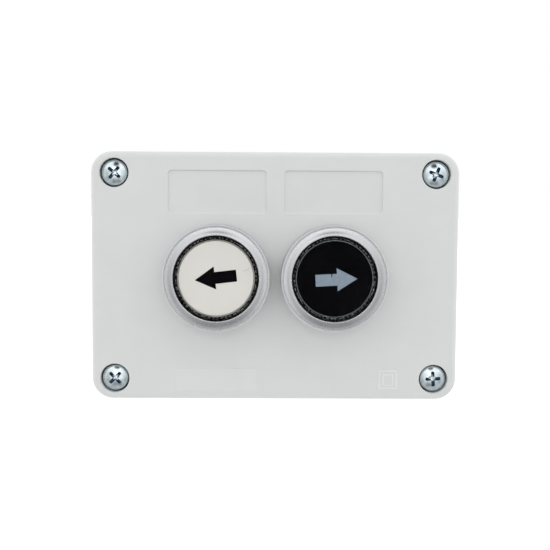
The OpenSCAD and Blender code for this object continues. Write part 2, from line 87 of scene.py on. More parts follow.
# In millimetres: a smaller radius is a point on the axis, and a ring of vertices this far inside a rounded
# edge keeps the flat face beside it from being shaded as a curve
ON_AXIS = 1e-6
FLAT_RING = 0.08
CORNERS = ((-1, -1), (1, -1), (1, 1), (-1, 1))
SIDES = ("left", "right")
NODES = frame["nodes"]
FRONT_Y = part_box("front_cover")[0].y


# Places taken from the frame

def on_cover(x, y, z):
    """A point in metres from millimetres: x right and y up from the cover's centre, z out of its face."""
    return Vector((x * MM, FRONT_Y - z * MM, y * MM))


def polar(middle, radius, angle, height):
    """A point at a radius and an angle round a middle on the cover, at a height over the cover's face."""
    return on_cover(middle[0] + radius * math.cos(angle), middle[1] + radius * math.sin(angle), height)


def across(node):
    """A round node's middle as (x, y) on the cover, and its radius, in millimetres."""
    low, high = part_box(node)
    return ((low.x + high.x) / 2 / MM, (low.z + high.z) / 2 / MM), (high.x - low.x) / 2 / MM


def heights(node):
    """How far a node's back and front stand out of the cover's face, in millimetres."""
    low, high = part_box(node)
    return (FRONT_Y - high.y) / MM, (FRONT_Y - low.y) / MM


def reach(joint):
    """How far a joint slides from rest, in millimetres."""
    return next(j for j in frame["joints"] if j["name"] == joint)["range_m"][1] / MM


# Mesh tools

def between(rows, count, start=0, joined=False):
    """Quads between rows of count vertices, each row a loop. joined adds those from the last to the first."""
    faces = []
    for row in range(rows if joined else rows - 1):
        a, b = start + row * count, start + (row + 1) % rows * count
        faces += [(a + i, a + (i + 1) % count, b + (i + 1) % count, b + i) for i in range(count)]
    return faces


def arc(middle, radius, start, end, steps=8):
    """Points of an arc in a (radius, height) section, with angles in degrees."""
    turns = [math.radians(start + (end - start) * i / steps) for i in range(steps + 1)]
    return [(middle[0] + radius * math.cos(t), middle[1] + radius * math.sin(t)) for t in turns]


def turned(middle, section, segments, radius_at=None):
    """Vertices and faces of a closed section of (radius, height) turned round an axis out of the cover.

    radius_at may change the radius of a point, from its radius, its height and its turn from 0 to 1.
    """
    points, rings, faces = [], [], []
    for radius, height in section:
        count = segments if radius > ON_AXIS else 1
        rings.append(range(len(points), len(points) + count))
        for i in range(count):
            turn = i / segments
            r = radius_at(radius, height, turn) if radius_at else radius
            points.append(polar(middle, r, 2 * math.pi * turn, height))
    for ring, following in zip(rings, rings[1:] + rings[:1]):
        for i in range(segments):
            j = (i + 1) % segments
            corners = (ring[i % len(ring)], ring[j % len(ring)], following[j % len(following)],
                       following[i % len(following)])
            corners = list(dict.fromkeys(corners))
            if len(corners) > 2:
                faces.append(corners)
    return points, faces


def coiled(middle, low, length, mean_r, wire_r, turns, sides=14, steps=32):
    """Vertices and faces of a coil spring with a closed turn at each end, standing out of the cover."""
    closed_rise = 2.1 * wire_r
    open_rise = (length - 2 * wire_r - 2 * closed_rise) / (turns - 2)

    def climb(turn):
        if turn < 1:
            return turn * closed_rise
        if turn < turns - 1:
            return closed_rise + (turn - 1) * open_rise
        return closed_rise + (turns - 2) * open_rise + (turn - turns + 1) * closed_rise

    points = []
    rings = turns * steps
    for i in range(rings + 1):
        angle = 2 * math.pi * i / steps
        for k in range(sides):
            section = 2 * math.pi * k / sides
            height = low + wire_r + climb(i / steps) + wire_r * math.sin(section)
            points.append(polar(middle, mean_r + wire_r * math.cos(section), angle, height))
    faces = between(rings + 1, sides)
    faces.append(tuple(range(sides)))
    faces.append(tuple(range(rings * sides, (rings + 1) * sides)))
    return points, faces


def framed(middle, width, height, section, filled=False):
    """Vertices and faces of a rectangular frame with mitred corners, from a section of (inset, rise).

    A filled frame is a raised plate: its section stays open, and a face closes its foot and its top.
    """
    points = []
    for inset, rise in section:
        half_w, half_h = width / 2 - inset, height / 2 - inset
        points += [on_cover(middle[0] + x * half_w, middle[1] + y * half_h, rise) for x, y in CORNERS]
    faces = between(len(section), 4, joined=not filled)
    if filled:
        faces.append((3, 2, 1, 0))
        faces.append(tuple(range(len(points) - 4, len(points))))
    return points, faces


def slab(outline, low, high):
    """Vertices and faces of a flat outline on the cover, between two heights."""
    count = len(outline)
    points = [on_cover(x, y, z) for z in (low, high) for x, y in outline]
    faces = between(2, count)
    faces.append(tuple(reversed(range(count))))
    faces.append(tuple(range(count, 2 * count)))
    return points, faces


def new_mesh(name, form, sharp=35):
    """A mesh of a form's vertices and faces, smooth where they meet at less than sharp degrees."""
    points, faces = form
    mesh = bpy.data.meshes.new(name)
    mesh.from_pydata(points, [], faces)
    work = bmesh.new()
    work.from_mesh(mesh)
    bmesh.ops.recalc_face_normals(work, faces=work.faces)
    work.to_mesh(mesh)
    work.free()
    mesh.shade_smooth()
    mesh.set_sharp_from_angle(angle=math.radians(sharp))
    return mesh


def new_piece(name, mesh, material, body, stands_for=()):
    """A shown piece that rides on a body, with its finish and the CAD nodes that it stands for."""
    mesh.materials.clear()
    mesh.materials.append(material)
    piece = bpy.data.objects.new(name, mesh)
    bpy.context.scene.collection.objects.link(piece)
    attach(piece, body)
    if stands_for:
        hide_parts(*stands_for)
    return piece


def carved(mesh, cutter):
    """The mesh with the cutter's shape taken out of it."""
    scene = bpy.context.scene
    work = bpy.data.objects.new("carved_work", mesh)
    tool = bpy.data.objects.new("carved_tool", cutter)
    for thing in (work, tool):
        scene.collection.objects.link(thing)
    cut = work.modifiers.new("Recess", "BOOLEAN")
    cut.operation = "DIFFERENCE"
    cut.solver = "EXACT"
    cut.object = tool
    seen = work.evaluated_get(bpy.context.evaluated_depsgraph_get())
    result = bpy.data.meshes.new_from_object(seen)
    for thing in (work, tool):
        bpy.data.objects.remove(thing)
    return result


# Finishes

def shader(name, colour, roughness, metallic=0.0, transmission=0.0, ior=1.5):
    """A new material, its tree, and its Principled shader with the values that hold all over."""
    material = bpy.data.materials.new(name)
    material.use_nodes = True
    tree = material.node_tree
    surface = tree.nodes["Principled BSDF"]
    surface.inputs["Base Color"].default_value = (*colour, 1)
    surface.inputs["Roughness"].default_value = roughness
    surface.inputs["Metallic"].default_value = metallic
    surface.inputs["Transmission Weight"].default_value = transmission
    surface.inputs["IOR"].default_value = ior
    material.diffuse_color = (*colour, 1)
    return material, tree, surface


def grain(tree, size, detail=3.0, stretch=(1, 1, 1)):
    """A noise whose grains are about size millimetres across, in the object's own space."""
    place = tree.nodes.new("ShaderNodeTexCoord")
    scale = tree.nodes.new("ShaderNodeMapping")
    scale.inputs["Scale"].default_value = [s / (size * MM) for s in stretch]
    noise = tree.nodes.new("ShaderNodeTexNoise")
    noise.inputs["Scale"].default_value = 1.0
    noise.inputs["Detail"].default_value = detail
    tree.links.new(place.outputs["Object"], scale.inputs["Vector"])
    tree.links.new(scale.outputs["Vector"], noise.inputs["Vector"])
    return noise.outputs["Fac"]


def ranged(tree, value, low, high, start=0.3, end=0.7):
    """The value spread from low to high, between start and end."""
    spread = tree.nodes.new("ShaderNodeMapRange")
    spread.inputs["From Min"].default_value = start
    spread.inputs["From Max"].default_value = end
    spread.inputs["To Min"].default_value = low
    spread.inputs["To Max"].default_value = high
    tree.links.new(value, spread.inputs["Value"])
    return spread.outputs["Result"]


def mottle(tree, surface, colour, size, amount):
    """Lets the colour wander a little from place to place."""
    mix = tree.nodes.new("ShaderNodeMix")
    mix.data_type = "RGBA"
    mix.inputs[6].default_value = (*[c * (1 - amount) for c in colour], 1)
    mix.inputs[7].default_value = (*[min(1, c * (1 + amount)) for c in colour], 1)
    tree.links.new(ranged(tree, grain(tree, size), 0, 1), mix.inputs[0])
    tree.links.new(mix.outputs[2], surface.inputs["Base Color"])


def uneven_gloss(tree, surface, size, low, high):
    """Lets the roughness wander between low and high."""
    tree.links.new(ranged(tree, grain(tree, size), low, high), surface.inputs["Roughness"])


def raise_grain(tree, surface, value, depth):
    """Turns a value into a relief of depth millimetres."""
    bump = tree.nodes.new("ShaderNodeBump")
    bump.inputs["Strength"].default_value = 1.0
    bump.inputs["Distance"].default_value = depth * MM
    tree.links.new(value, bump.inputs["Height"])
    tree.links.new(bump.outputs["Normal"], surface.inputs["Normal"])


def moulded(name, colour, roughness=0.45, wander=0.015, texture=0.25, depth=0.004):
    """Moulded plastic: an even colour with a faint wander, and a fine spark-eroded texture."""
    material, tree, surface = shader(name, colour, roughness)
    mottle(tree, surface, colour, size=9.0, amount=wander)
    uneven_gloss(tree, surface, size=2.5, low=roughness - 0.05, high=roughness + 0.05)
    raise_grain(tree, surface, grain(tree, texture), depth)
    return material


def satin_metal(name, colour, roughness):
    """Blasted and plated metal: fine grains under an even sheen."""
    material, tree, surface = shader(name, colour, roughness, metallic=1.0)
    mottle(tree, surface, colour, size=0.35, amount=0.03)
    uneven_gloss(tree, surface, size=0.5, low=roughness - 0.03, high=roughness + 0.03)
    raise_grain(tree, surface, grain(tree, 0.18, detail=2), depth=0.0003)
    return material


def plated_steel(name, colour, roughness=0.14):
    """Bright zinc: a clean surface with soft blotches and faint turning marks."""
    material, tree, surface = shader(name, colour, roughness, metallic=1.0)
    mottle(tree, surface, colour, size=1.2, amount=0.06)
    uneven_gloss(tree, surface, size=0.7, low=roughness - 0.05, high=roughness + 0.07)
    raise_grain(tree, surface, grain(tree, 0.5), depth=0.004)
    return material


def drawn_metal(name, colour, roughness=0.3):
    """Drawn wire and stamped strip, with fine streaks out of the cover."""
    material, tree, surface = shader(name, colour, roughness, metallic=1.0)
    mottle(tree, surface, colour, size=2.0, amount=0.06)
    raise_grain(tree, surface, grain(tree, 0.15, stretch=(1, 0.1, 1)), depth=0.004)
    return material


def soft_rubber(name, colour):
    """Matt rubber with a dusty bloom."""
    material, tree, surface = shader(name, colour, 0.8)
    mottle(tree, surface, colour, size=1.5, amount=0.3)
    raise_grain(tree, surface, grain(tree, 0.3), depth=0.01)
    return material


def clear_plastic(name, tint, roughness, cover=0.15):
    """Polished clear plastic with a few wiping marks."""
    material, tree, surface = shader(name, tint, roughness, transmission=1.0, ior=1.49)
    surface.inputs["Alpha"].default_value = cover
    uneven_gloss(tree, surface, size=4.0, low=roughness, high=roughness + 0.03)
    raise_grain(tree, surface, grain(tree, 0.4, stretch=(1, 1, 0.08)), depth=0.0006)
    return material


def glint_and_shade_plastic(name, tint, clarity=0.4):
    """The rough, part-clear edge of a clear moulding, whose tint is painted light: glints on the cap ribs,
    and shaded or glinting rings round the inserts.
    """
    material, tree, surface = shader(name, tint, 0.4, transmission=clarity, ior=1.49)
    mottle(tree, surface, tint, size=0.4, amount=0.3)
    raise_grain(tree, surface, grain(tree, 0.15), depth=0.01)
    return material


def printed_ink(name, colour, roughness=0.5):
    """A film of ink with a slightly uneven cover."""
    material, tree, surface = shader(name, colour, roughness)
    mottle(tree, surface, colour, size=0.6, amount=0.08)
    raise_grain(tree, surface, grain(tree, 0.2), depth=0.002)
    return material


def give_finish(material, *nodes):
    """Puts a finish on CAD nodes, whose meshes stay as they are."""
    for node in nodes:
        for slot in NODES[node].material_slots:
            slot.material = material


# What a user may change

def a_length(name, description, millimetres):
    return FloatProperty(name=name, description=description, default=millimetres * MM, unit="LENGTH")


def an_angle(name, description, degrees):
    return FloatProperty(name=name, description=description, default=math.radians(degrees), subtype="ANGLE")


def a_colour(name, description, colour):
    return FloatVectorProperty(name=name, description=description, default=colour, subtype="COLOR")


def a_roughness(name, description, value):
    return FloatProperty(name=name, description=description, default=value, min=0.1, max=0.7)


class StudioSettings(bpy.types.PropertyGroup):
    """Where the camera stands and how bright the studio is."""

    distance: a_length("Distance", "From the camera to the plane of the cover", 280)
    rise: an_angle("Rise", "How far the camera stands over the cover's axis", 4.061)
    turn: an_angle("Turn", "How far the camera stands to the left of the cover's axis", 0.769)
    roll: an_angle("Roll", "How far the station leans to the right in the picture", 0.296)
    aim: FloatVectorProperty(name="Aim", size=2, unit="LENGTH", default=(-0.009 * MM, 0.509 * MM),
                             description="What the camera looks at, right and up from the cover's centre")
    focal_length: FloatProperty(name="Focal length", description="Of the camera's lens, on a 36 mm sensor",
                                default=65.05, unit="CAMERA")
    dome: FloatProperty(name="Dome", description="Brightness of the white room", default=1.0)
    top_light: FloatProperty(name="Top light", description="Power of the softbox over the station",
                             default=0.05, unit="POWER")


class HousingSettings(bpy.types.PropertyGroup):
    """Colours of the moulded box, and the form of its fasteners."""

    cover_colour: a_colour("Cover", "Light grey of the cover", (0.76, 0.77, 0.757))
    base_colour: a_colour("Base", "Light grey of the base", (0.715, 0.725, 0.715))
    zinc_colour: a_colour("Screws", "Bluish zinc plating", (0.69, 0.77, 0.805))
    # The cross's colour is partly blue passivation and partly painted shade: it is kept dark so that the deep
    # arms look shaded
    passivation_and_shade_colour: a_colour("Cross", "Blue passivation left in the arms of the cross", (0.035, 0.085, 0.14))
    head_diameter: a_length("Screw head", "Diameter of the screw heads", 7.2)
    dome_radius: a_length("Screw dome", "Radius of the shallow dome on the screw heads", 8.0)
    crown_radius: a_length("Screw crown", "Where the dome turns over into the rounded edge", 3.05)
    recess_span: a_length("Recess span", "From tip to tip of the cross in a screw head", 4.3)
    thread_pitch: a_length("Thread pitch", "Pitch of the thread that cuts into the base", 1.3)
    sign_side: a_length("Double square", "Width of the double square in relief", 5.15)


class BezelSettings(bpy.types.PropertyGroup):
    """Form and finish of the rings round the buttons."""

    colour: a_colour("Colour", "Tint of the satin plating", (0.56, 0.56, 0.574))
    roughness: a_roughness("Roughness", "How far the plating scatters light", 0.27)
    # The rim's tint is lighter than the cone's plating: a painted highlight along the rim, under a duller
    # finish
    rim_highlight_colour: a_colour("Rim colour", "Tint of the plating on the rim", (0.65, 0.65, 0.664))
    rim_roughness: a_roughness("Rim roughness", "How far the rim scatters light", 0.5)
    rim_radius: a_length("Rim radius", "Rounding of the outer rim", 0.3)
    lip_radius: a_length("Lip radius", "Rounding of the bead round the opening", 0.22)
    dish: an_angle("Dish", "How much the cone's slope changes from its middle to either end", 5.5)
    segments: IntProperty(name="Segments", description="Facets round each ring", default=360, min=64)


class ButtonSettings(bpy.types.PropertyGroup):
    """The clear caps, what they cover, and the arrows printed there."""

    white: a_colour("White insert", "Warm white of the left insert", (0.86, 0.84, 0.79))
    black: a_colour("Black insert", "Black of the right insert", (0.0042, 0.0042, 0.0054))
    dark_ink: a_colour("Dark ink", "Arrow on the white insert", (0.005, 0.0045, 0.0055))
    pale_ink: a_colour("Pale ink", "Arrow on the black insert", (0.305, 0.37, 0.44))
    edge_radius: a_length("Cap edge", "Rounding of the clear cap's edge", 0.5)
    ribs: IntProperty(name="Ribs", description="Short ribs under the clear skirt", default=60)
    arrow_length: a_length("Arrow length", "From tip to tail", 11.5)
    head_length: a_length("Arrow head length", "From the tip to the head's corners", 5.55)
    head_width: a_length("Arrow head width", "Across the head's corners", 6.35)
    shaft_width: a_length("Arrow shaft width", "Across the shaft", 3.25)
    left_turn: an_angle("Left arrow turn", "How far the left arrow is turned", 6.6)
    right_turn: an_angle("Right arrow turn", "How far the right arrow is turned", 3.2)


class StationOperator(bpy.types.Operator):
    """What all the station's operators share."""

    bl_options = {"REGISTER", "UNDO"}

    def execute(self, context):
        self.make(context.scene)
        return {"FINISHED"}


# Stage

# The studio as the bright parts see it. Each card stands so many degrees to the right of the cover's axis
# and above it, as seen from the station. It is full within the first angle round its middle and fades out
# over the second. The last value is what it adds to the dome's brightness.
STUDIO_CARDS = (
    ("ceiling", 0, 90, 20, 35, -0.1),
    ("left wall", -90, 0, 20, 35, 0.2),
    ("right wall", 90, 0, 20, 35, 0.2),
    ("floor", 0, -90, 20, 35, 0.15),
    ("left wing", -43, -4, 8, 22, -0.33),
    ("right wing", 44, -4, 8, 22, -0.33),
    ("left key", -30, 27, 8, 22, 0.2),
    ("right key", 32, 27, 8, 22, 0.2),
    ("gap over the softbox", 0, 36, 9, 4, -1.1),
    ("low left", -30, -35, 8, 22, -0.33),
    ("low middle", 0.7, -48, 8, 22, -0.3),
    ("low right", 32, -35, 8, 22, -0.33),
    ("softbox", 0, 17, 6, 13, 0.55),
    ("left strip", -21.3, -4, 3, 12, 0.16),
    ("right strip", 22.7, -4, 3, 12, 0.16),
    ("left reflector", -18.4, -15, 3, 12, 0.2),
    ("right reflector", 19.8, -15, 3, 12, 0.1),
    ("under the camera", 0.7, -25, 10, 13, -0.22),
    ("round the camera", 0.7, -4, 8, 9, 0.6),
    ("camera", 1, -4, 6.3, 3, -1.65),
)


class STATION_OT_stage(StationOperator):
    """Set up the floor, the soft white room, the softbox and the camera"""

    bl_idname = "station.stage"
    bl_label = "Stage"

    FLOOR_REACH = 4.0
    FLOOR_GLOW = 0.55
    DARKEST = 0.02
    SOFTBOX_SIZE = (0.5, 0.4)
    SOFTBOX_PLACE = (0, -0.25, 0.6)
    SOFTBOX_AIM = (0, -0.05, 0)

    def make(self, scene):
        settings = scene.station_studio
        scene.view_settings.view_transform = "Standard"
        scene.view_settings.look = "None"
        self.floor(scene)
        self.room(scene, settings)
        self.softbox(scene, settings)
        self.camera(scene, settings)

    def floor(self, scene):
        """A pale floor that the camera sees, and that lights and mirrors nothing."""
        size, level = self.FLOOR_REACH, CAD_BOX[0].z
        mesh = bpy.data.meshes.new("floor")
        corners = [(x * size, y * size, level) for x, y in CORNERS]
        mesh.from_pydata(corners, [], [(0, 1, 2, 3)])
        material, _, surface = shader("pale_floor", (0.85, 0.85, 0.85), 0.9)
        surface.inputs["Emission Color"].default_value = (1, 1, 1, 1)
        surface.inputs["Emission Strength"].default_value = self.FLOOR_GLOW
        mesh.materials.append(material)
        floor = bpy.data.objects.new("floor", mesh)
        floor.visible_diffuse = False
        floor.visible_glossy = False
        floor.visible_transmission = False
        scene.collection.objects.link(floor)

    def room(self, scene, settings):
        """A world that is plain white to the camera, and a dome with the studio's cards to all else."""
        world = bpy.data.worlds.new("white_room")
        world.use_nodes = True
        tree = world.node_tree
        lit = tree.nodes["Background"]
        lit.inputs["Color"].default_value = (0.985, 0.995, 1, 1)
        place = tree.nodes.new("ShaderNodeTexCoord").outputs["Generated"]
        value = None
        for _, azimuth, elevation, span, fade, amount in STUDIO_CARDS:
            both = tree.nodes.new("ShaderNodeMath")
            both.inputs[0].default_value = settings.dome
            if value:
                tree.links.new(value, both.inputs[0])
            tree.links.new(self.card(tree, place, azimuth, elevation, span, fade, amount), both.inputs[1])
            value = both.outputs[0]
        shown = tree.nodes.new("ShaderNodeMath")
        shown.operation = "MAXIMUM"
        shown.inputs[1].default_value = self.DARKEST
        tree.links.new(value, shown.inputs[0])
        tree.links.new(shown.outputs[0], lit.inputs["Strength"])
        plain = tree.nodes.new("ShaderNodeBackground")
        plain.inputs["Strength"].default_value = 1.0
        plain.inputs["Color"].default_value = (1, 1, 1, 1)
        path = tree.nodes.new("ShaderNodeLightPath")
        pick = tree.nodes.new("ShaderNodeMixShader")
        tree.links.new(path.outputs["Is Camera Ray"], pick.inputs[0])
        tree.links.new(lit.outputs[0], pick.inputs[1])
        tree.links.new(plain.outputs[0], pick.inputs[2])
        tree.links.new(pick.outputs[0], tree.nodes["World Output"].inputs["Surface"])
        scene.world = world

    def card(self, tree, place, azimuth, elevation, span, fade, amount):
        """What a card adds to the room in the direction of place, with angles in degrees."""
        a, e = math.radians(azimuth), math.radians(elevation)
        near = tree.nodes.new("ShaderNodeVectorMath")
        near.operation = "DOT_PRODUCT"
        near.inputs[1].default_value = (math.sin(a) * math.cos(e), -math.cos(a) * math.cos(e), math.sin(e))
        tree.links.new(place, near.inputs[0])
        edge = tree.nodes.new("ShaderNodeMapRange")
        edge.interpolation_type = "SMOOTHSTEP"
        edge.inputs["From Min"].default_value = math.cos(math.radians(span + fade))
        edge.inputs["From Max"].default_value = math.cos(math.radians(span))
        edge.inputs["To Max"].default_value = amount
        tree.links.new(near.outputs["Value"], edge.inputs["Value"])
        return edge.outputs["Result"]

    def softbox(self, scene, settings):
        light = bpy.data.lights.new("top_softbox", "AREA")
        light.shape = "RECTANGLE"
        light.size, light.size_y = self.SOFTBOX_SIZE
        light.energy = settings.top_light
        lamp = bpy.data.objects.new("top_softbox", light)
        lamp.location = self.SOFTBOX_PLACE
        toward = Vector(self.SOFTBOX_AIM) - lamp.location
        lamp.rotation_euler = toward.to_track_quat("-Z", "Y").to_euler()
        lamp.visible_glossy = False
        scene.collection.objects.link(lamp)

    def camera(self, scene, settings):
        """Tilts, turns and rolls the cover's plane before a fixed camera, which gives the camera's place."""
        view = Matrix.Rotation(-settings.roll, 3, "Z") @ Matrix.Rotation(settings.turn, 3, "Y")
        view = (view @ Matrix.Rotation(settings.rise, 3, "X")).transposed()
        lie = Matrix(((1, 0, 0), (0, 0, -1), (0, 1, 0)))
        back = lie @ view @ Vector((0, 0, 1))
        data = bpy.data.cameras.new("photo_camera")
        data.lens = settings.focal_length
        data.sensor_width = 36
        data.clip_start = 0.01
        camera = bpy.data.objects.new("photo_camera", data)
        aim = on_cover(settings.aim[0] / MM, settings.aim[1] / MM, 0)
        camera.matrix_world = Matrix.Translation(aim + settings.distance * back) @ (lie @ view).to_4x4()
        scene.collection.objects.link(camera)
        scene.camera = camera


# Moulded box

class STATION_OT_housing(StationOperator):
    """Finish the cover, the base, the plug and their seals"""

    bl_idname = "station.housing"
    bl_label = "Housing"

    def make(self, scene):
        settings = scene.station_housing
        give_finish(moulded("cover_plastic", settings.cover_colour), "front_cover")
        give_finish(moulded("base_plastic", settings.base_colour), "base_box")
        plug_colour = [0.95 * c for c in settings.base_colour]
        give_finish(moulded("plug_plastic", plug_colour, roughness=0.4), "blanking_plug")
        give_finish(soft_rubber("seal_rubber", (0.03, 0.03, 0.03)), "cover_gasket", "plug_seal")


class STATION_OT_relief(StationOperator):
    """Raise the double square, the mould insert's face and a pip on the cover"""

    bl_idname = "station.relief"
    bl_label = "Relief"

    # In millimetres, with places from the cover's centre. The pip's height is its flatness by its radius.
    SIGN_AT = (32.2, -29.25)
    SIGN_STRETCH = 0.25
    INNER_SIGN_LESS = 2.05
    MOULD_FACE_AT, MOULD_FACE_SIZE = (-16.6, -29.3), (23.1, 6.5)
    PIP_AT, PIP_RADIUS, PIP_FLATNESS = (27.2, -26.6), 0.28, 0.4
    FOOT, EDGE = -0.05, 0.02

    def make(self, scene):
        settings = scene.station_housing
        # The raised lines and the pip are a tenth lighter than the cover: a painted highlight where raised
        # lines catch the light
        lit_relief_plastic = moulded("relief_plastic_painted_highlight", [1.1 * c for c in settings.cover_colour])
        plain = moulded("mould_face_plastic", [1.02 * c for c in settings.cover_colour])
        side = settings.sign_side / MM
        self.raised("double_square_outer", self.square(side), lit_relief_plastic)
        self.raised("double_square_inner", self.square(side - self.INNER_SIGN_LESS), lit_relief_plastic)
        section = [(0, self.FOOT), (0, self.EDGE), (0.1, 0.11)]
        plate = framed(self.MOULD_FACE_AT, *self.MOULD_FACE_SIZE, section, filled=True)
        self.raised("mould_insert_face", plate, plain)
        dome = [(r, self.PIP_FLATNESS * h) for r, h in reversed(arc((0, 0), self.PIP_RADIUS, 90, 0, 6))]
        self.raised("mould_pip", turned(self.PIP_AT, [(0, self.FOOT)] + dome, 24), lit_relief_plastic)

    def raised(self, name, form, plastic):
        new_piece(name, new_mesh(name, form), plastic, "housing")

    def square(self, outer):
        """One square of the sign, a little taller than wide, as a bevelled line."""
        line, rise, bevel = 0.42, 0.14, 0.12
        section = [(0, self.FOOT), (0, self.EDGE), (bevel, rise), (line - bevel, rise), (line, self.EDGE),
                   (line, self.FOOT)]
        return framed(self.SIGN_AT, outer, outer + self.SIGN_STRETCH, section)


class STATION_OT_cover_screws(StationOperator):
    """Turn the four cover screws, each with a thread and a cross recess at its own angle"""

    bl_idname = "station.cover_screws"
    bl_label = "Cover screws"

    # How each cross is turned, in degrees, from the lower left corner clockwise
    TURNS = (45, 50, 68, 3)
    # The cross's height over the head's top at some levels, its share of the full reach there, and half of
    # an arm's width
    LEVELS = ((0.6, 1.1, 0.52), (-0.15, 1.0, 0.47), (-1.2, 0.93, 0.42), (-1.9, 0.45, 0.32), (-2.1, 0.2, 0.18))

    def make(self, scene):
        settings = scene.station_housing
        zinc = plated_steel("zinc", settings.zinc_colour)
        # Dark blue zinc for the cross: a passivation tint with painted shade in the deep arms
        blue_zinc_and_shade = plated_steel("zinc_and_painted_shade_in_cross", settings.passivation_and_shade_colour, 0.3)
        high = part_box("cover_screws")[1]
        head_r = settings.head_diameter / 2 / MM
        x, y = high.x / MM - head_r, high.z / MM - head_r
        places = ((-x, -y), (-x, y), (x, y), (x, -y))
        for number, (place, turn) in enumerate(zip(places, self.TURNS), 1):
            name = f"cover_screw_{number}"
            mesh = self.screw(name, place, head_r, turn, settings)
            piece = new_piece(name, mesh, zinc, "housing", ("cover_screws",))
            piece.data.materials.append(blue_zinc_and_shade)
            self.tint_and_shade_arms(piece.data, place, settings)

    def screw(self, name, place, head_r, turn, settings):
        bottom, top = heights("cover_screws")
        head_h, seat_chamfer, shank_r, rows_per_turn = 2.5, 0.15, 1.74, 8
        seat = top - head_h
        pitch = settings.thread_pitch / MM
        rows = int((seat - bottom) / pitch * rows_per_turn)
        section = self.head(settings, head_r, top)
        section += [(head_r, seat + seat_chamfer), (head_r - seat_chamfer, seat)]
        section += [(shank_r, seat - (seat - bottom) * i / rows) for i in range(rows + 1)] + [(0, bottom)]
        thread = self.threaded(pitch, shank_r, seat, bottom)
        body = new_mesh(name, turned(place, section, 96, thread))
        result = carved(body, self.recess(place, top, turn, settings.recess_span / 2 / MM))
        result.shade_smooth()
        result.set_sharp_from_angle(angle=math.radians(35))
        return result

    def head(self, settings, head_r, top):
        """Half of the head's outline: a shallow dome, then a rounder band, and a small round at the rim."""
        dome_r, crown_r = settings.dome_radius / MM, settings.crown_radius / MM
        crown_slope, rim_slope, rim_r = math.asin(crown_r / dome_r), math.radians(48), 0.06
        band_end = head_r - rim_r + rim_r * math.sin(rim_slope)
        band_r = (band_end - crown_r) / (math.sin(rim_slope) - math.sin(crown_slope))
        band_z = top - dome_r + (dome_r - band_r) * math.cos(crown_slope)
        rim_z = band_z + (band_r - rim_r) * math.cos(rim_slope)
        crown_turn, rim_turn = 90 - math.degrees(crown_slope), 90 - math.degrees(rim_slope)
        dome = arc((0, top - dome_r), dome_r, 90, crown_turn, 16)[1:]
        band = arc((crown_r - band_r * math.sin(crown_slope), band_z), band_r, crown_turn, rim_turn)[1:]
        rim = arc((head_r - rim_r, rim_z), rim_r, rim_turn, 0, 5)[1:]
        return [(0, top)] + dome + band + rim

    def threaded(self, pitch, shank_r, seat, bottom):
        """What raises a thread on the shank, below a plain length and down to a tapered tip."""
        plain_l, tip_l, tip_share = 3.0, 2.2, 0.35
        thread_h, half_crest = 0.38, 0.3

        def radius_at(radius, height, turn):
            if height > seat - plain_l or radius != shank_r:
                return radius
            ramp = min(1, (height - bottom) / tip_l)
            along = (height / pitch + turn) % 1
            crest = max(0, 1 - abs(along - 0.5) / half_crest)
            return (shank_r - thread_h) * (tip_share + (1 - tip_share) * ramp) + thread_h * crest * ramp

        return radius_at

    def tint_and_shade_arms(self, mesh, place, settings):
        """Gives the faces inside the cross's arms the second finish: their blue passivation, darkened further
        as painted shade in the deep arms.
        """
        top = heights("cover_screws")[1]
        dome_r, tips = settings.dome_radius / MM, settings.recess_span / 2 / MM
        hub, margin, shallowest, deepest = 1.0, 1.15, 0.03, 2.3
        for face in mesh.polygons:
            out = math.hypot(face.center.x / MM - place[0], face.center.z / MM - place[1])
            height = (FRONT_Y - face.center.y) / MM
            below = top - dome_r + math.sqrt(max(0, dome_r ** 2 - out ** 2)) - height
            if hub < out < margin * tips and shallowest < below < deepest:
                face.material_index = 1

    def recess(self, place, top, turn, tips):
        """A cross that narrows and shortens with depth, down to a small pit."""
        points = []
        for over, share, half in self.LEVELS:
            points += [on_cover(place[0] + x, place[1] + y, top + over)
                       for x, y in self.cross(tips * share, half, turn)]
        count = len(points) // len(self.LEVELS)
        faces = between(len(self.LEVELS), count)
        faces.append(tuple(range(count)))
        faces.append(tuple(reversed(range(len(points) - count, len(points)))))
        return new_mesh("cross_recess", (points, faces))

    def cross(self, tips, half, turn):
        """Outline of a cross whose arms have bevelled ends, turned by so many degrees."""
        arm = [(half, half), (tips - 0.5 * half, half), (tips, 0.45 * half), (tips, -0.45 * half),
               (tips - 0.5 * half, -half)]
        outline = []
        for quarter in range(4):
            angle = math.radians(turn - 90 * quarter)
            c, s = math.cos(angle), math.sin(angle)
            outline += [(x * c - y * s, x * s + y * c) for x, y in arm]
        return outline


# Pushbuttons

